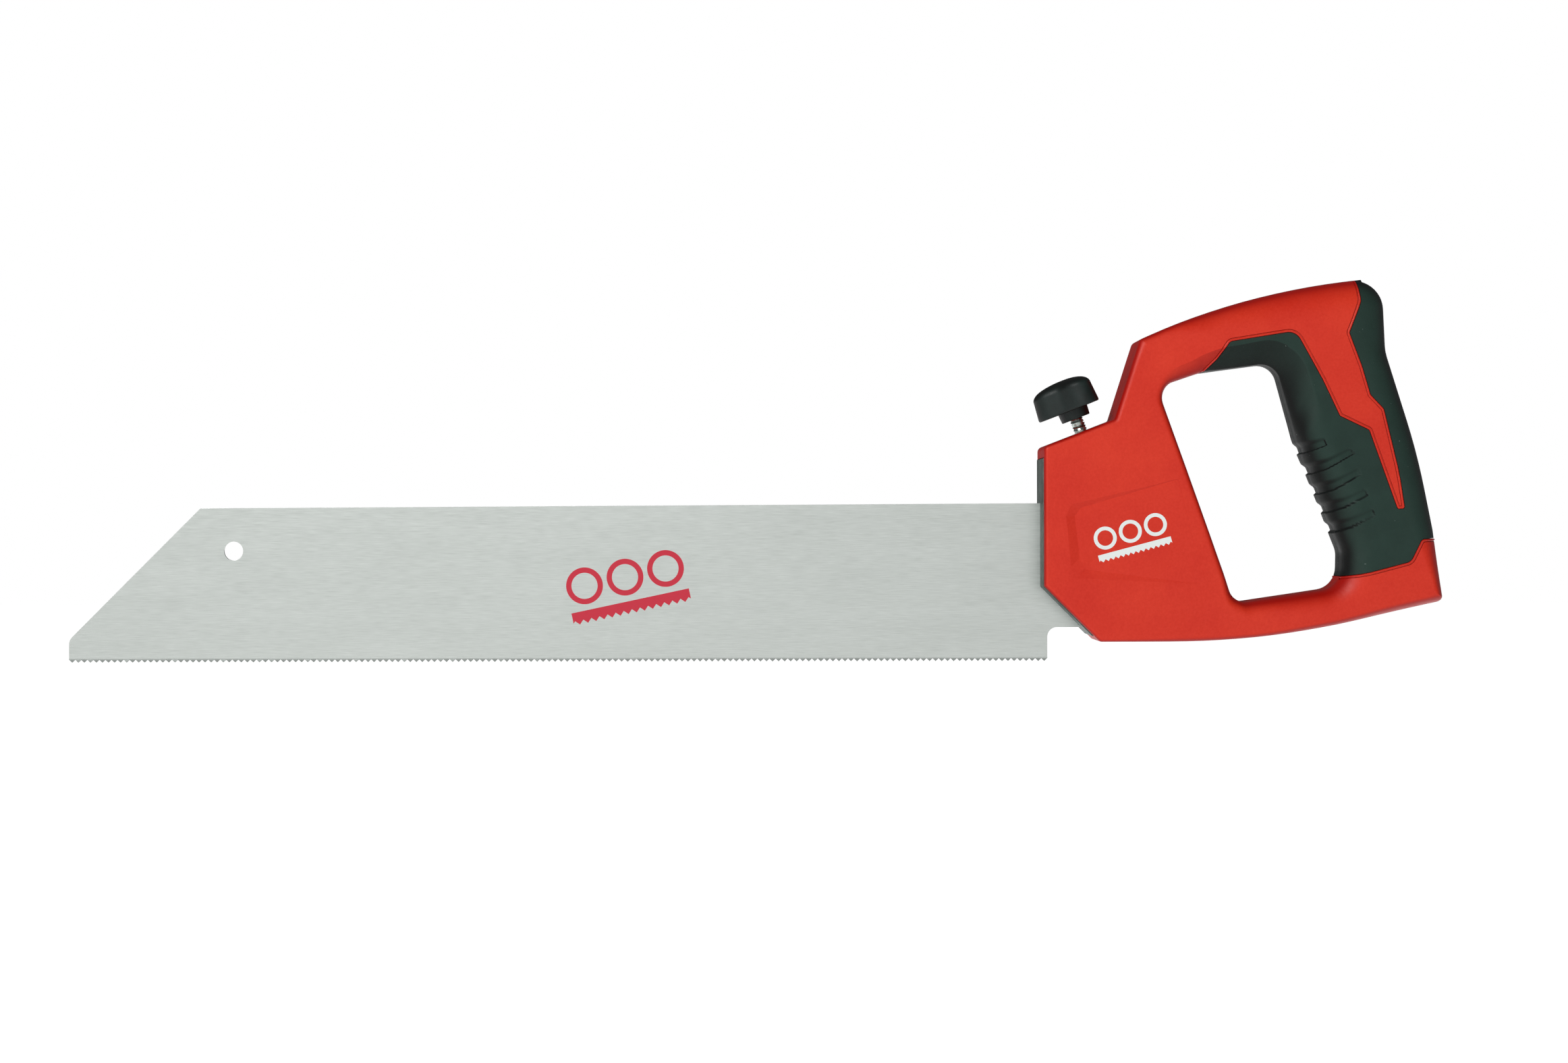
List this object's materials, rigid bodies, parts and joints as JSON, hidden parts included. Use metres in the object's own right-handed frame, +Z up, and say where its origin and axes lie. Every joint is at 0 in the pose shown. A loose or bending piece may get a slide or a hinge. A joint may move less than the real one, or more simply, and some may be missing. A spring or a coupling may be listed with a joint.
{
  "type": "plastic pipe hand saw",
  "caption": "Hand saw for plastic pipe: a removable straight blade clamped by a lobed hand knob in a D-shaped handle with a soft grip.",
  "frame": {"origin": "under the middle of the saw's length, at the height of the tooth tips, on the blade's mid-plane", "axes": "+X from the blade's toe to the tail of the handle, along the teeth; +Y across, from the left side of the saw to its right side; +Z up from the teeth to the back of the blade"},
  "size_m": [0.6398, 0.0314, 0.1769],
  "materials": {
    "blade_steel": "satin, ground lengthwise",
    "cheek_alloy": "die-cast, tumbled",
    "stud_zinc": "zinc plated",
    "nut_zinc": "zinc plated",
    "knob_nylon": "moulded, satin",
    "shoe_steel": "black oxide",
    "rivet_steel": "plain",
    "screw_steel": "black zinc",
    "shell_red": "moulded, fine grain",
    "grip_rubber": "overmoulded, matt"
  },
  "bodies": {
    "handle": {"handle_shell_left": "shell_red", "handle_shell_right": "shell_red", "grip_overmould_left": "grip_rubber", "grip_overmould_right": "grip_rubber", "clamp_cheek_left": "cheek_alloy", "clamp_cheek_right": "cheek_alloy", "captive_nut": "nut_zinc", "cheek_rivet_1": "rivet_steel", "cheek_rivet_2": "rivet_steel", "cheek_rivet_3": "rivet_steel", "cheek_rivet_4": "rivet_steel", "handle_screw_1": "screw_steel", "handle_screw_2": "screw_steel", "handle_screw_3": "screw_steel", "handle_screw_4": "screw_steel", "handle_screw_5": "screw_steel", "handle_screw_6": "screw_steel", "handle_screw_7": "screw_steel"},
    "shoe": {"clamp_shoe": "shoe_steel", "shoe_clip": "shoe_steel"},
    "knob": {"clamp_stud": "stud_zinc", "clamp_knob": "knob_nylon"},
    "blade": {"blade": "blade_steel"}
  },
  "joints": [
    {"name": "shoe_travel", "type": "slide", "parent": "handle", "child": "shoe", "axis": [-0.3611, 0, 0.9325], "range_m": [0, 0.00508]},
    {"name": "knob_turn", "type": "hinge", "parent": "shoe", "child": "knob", "pos_m": [0.15336, 0, 0.10703], "axis": [-0.3611, 0, 0.9325], "range_deg": [0, 1440]},
    {"name": "blade_slide", "type": "slide", "parent": "handle", "child": "blade", "axis": [1, 0, 0], "range_m": [-0.055, 0]}
  ],
  "couplings": [
    {"joint": "knob_turn", "follows": "shoe_travel", "rad_per_m": 4947.4}
  ]
}
